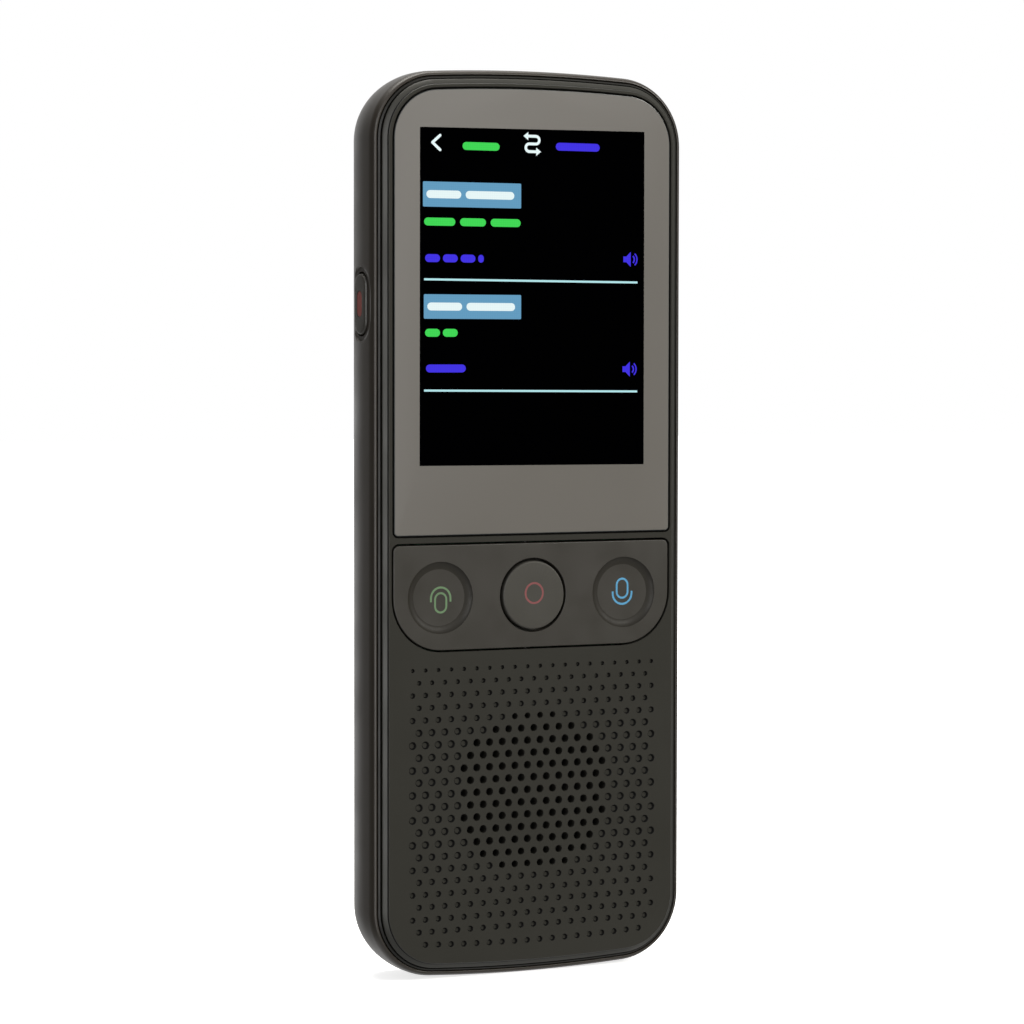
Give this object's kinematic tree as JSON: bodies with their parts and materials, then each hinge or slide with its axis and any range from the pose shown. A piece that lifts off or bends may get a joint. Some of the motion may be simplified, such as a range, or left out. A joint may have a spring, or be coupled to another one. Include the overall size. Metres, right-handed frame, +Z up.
{
  "type": "handheld translator",
  "caption": "Bar-shaped handheld translator with a touch screen, a rocking key plate around a round talk button, a graded speaker grille and a side power button.",
  "frame": {"origin": "centre of the bounding box at its lowest point, so the device stands upright on its bottom end", "axes": "+Z up along the device, the screen faces -Y, the side button is on the -X side"},
  "size_m": [0.0508, 0.0128, 0.1325],
  "materials": {
    "housing": "soft-touch black, fine texture",
    "shell": "satin black",
    "trim": "dark satin paint",
    "key": "matte black",
    "button": "matte black, a little lighter than the key plate",
    "red": "dull red inlay",
    "glass": "clear cover glass with a printed border",
    "lcd": "black display glass",
    "light": "white light guide and films",
    "foam": "black foam tape",
    "steel": "tinned steel",
    "nylon": "black moulded nylon",
    "flex": "amber polyimide film",
    "board": "green solder mask on fibreglass",
    "chip": "black epoxy",
    "silicone": "grey silicone",
    "foil": "laminated pouch foil",
    "wire": "red insulated wire",
    "mesh": "black woven mesh",
    "cone": "black treated paper"
  },
  "bodies": {
    "device": {"front_housing": "housing", "rear_housing": "shell", "trim_ring": "trim", "cover_glass": "glass", "lens_tape": "foam", "lcd_panel": "lcd", "backlight": "light", "display_bracket": "steel", "display_flex": "flex", "display_connector": "nylon", "keypad": "silicone", "left_switch": "steel", "centre_switch": "steel", "right_switch": "steel", "side_switch": "steel", "main_board": "board", "sub_board": "board", "link_flex": "flex", "shield_can": "steel", "processor": "chip", "memory_chip": "chip", "board_screw_1": "steel", "board_screw_2": "steel", "board_screw_3": "steel", "board_screw_4": "steel", "board_screw_5": "steel", "board_screw_6": "steel", "antenna": "flex", "battery": "foil", "battery_tape": "foam", "battery_plug": "nylon", "battery_lead": "wire", "dust_mesh": "mesh", "speaker_gasket": "foam", "speaker_basket": "nylon", "speaker_cone": "cone", "speaker_magnet": "steel", "speaker_foam": "foam", "speaker_lead": "wire", "top_mic": "steel", "top_mic_boot": "silicone", "bottom_mic": "steel", "bottom_mic_boot": "silicone", "usb_shell": "steel", "usb_tongue": "nylon"},
    "rocker": {"key_plate": "key"},
    "talk_button": {"centre_button": "button"},
    "power_button": {"side_button": "key", "side_button_inlay": "red"}
  },
  "joints": [
    {"name": "key_rock", "type": "hinge", "parent": "device", "child": "rocker", "pos_m": [0, -0.00365, 0.05584], "axis": [0, 0, 1], "range_deg": [-1, 1], "stiffness_Nm_per_rad": 0.5},
    {"name": "talk_press", "type": "slide", "parent": "rocker", "child": "talk_button", "axis": [0, 1, 0], "range_m": [0, 0.0004], "stiffness_N_per_m": 2500},
    {"name": "power_press", "type": "slide", "parent": "device", "child": "power_button", "axis": [1, 0, 0], "range_m": [0, 0.0003], "stiffness_N_per_m": 3500}
  ]
}
